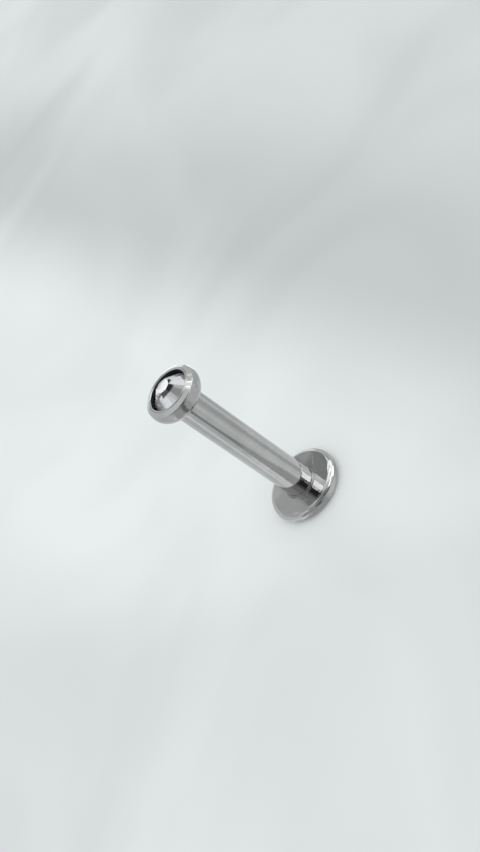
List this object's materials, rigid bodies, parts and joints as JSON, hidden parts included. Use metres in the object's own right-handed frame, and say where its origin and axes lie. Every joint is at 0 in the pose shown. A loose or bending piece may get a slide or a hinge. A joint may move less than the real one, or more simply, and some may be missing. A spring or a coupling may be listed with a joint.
{
  "type": "labret stud",
  "caption": "Labret stud: round post with a flat rounded back disc, and a pull-off bezel cup head on a hidden pin, set with a faceted crystal.",
  "frame": {"origin": "centre of the flat back of the disc, on the surface that the stud stands on", "axes": "+Z along the post, from the back disc to the stone; +Y away from the side that the picture was taken from"},
  "size_m": [0.004, 0.004, 0.0105],
  "materials": {
    "polished_steel": "polished",
    "crystal": "polished"
  },
  "bodies": {
    "post": {"labret_post": "polished_steel"},
    "head": {"bezel_head": "polished_steel", "stone": "crystal"}
  },
  "joints": [
    {"name": "head_pull", "type": "slide", "parent": "post", "child": "head", "axis": [0, 0, 1], "range_m": [0, 0.004]}
  ]
}
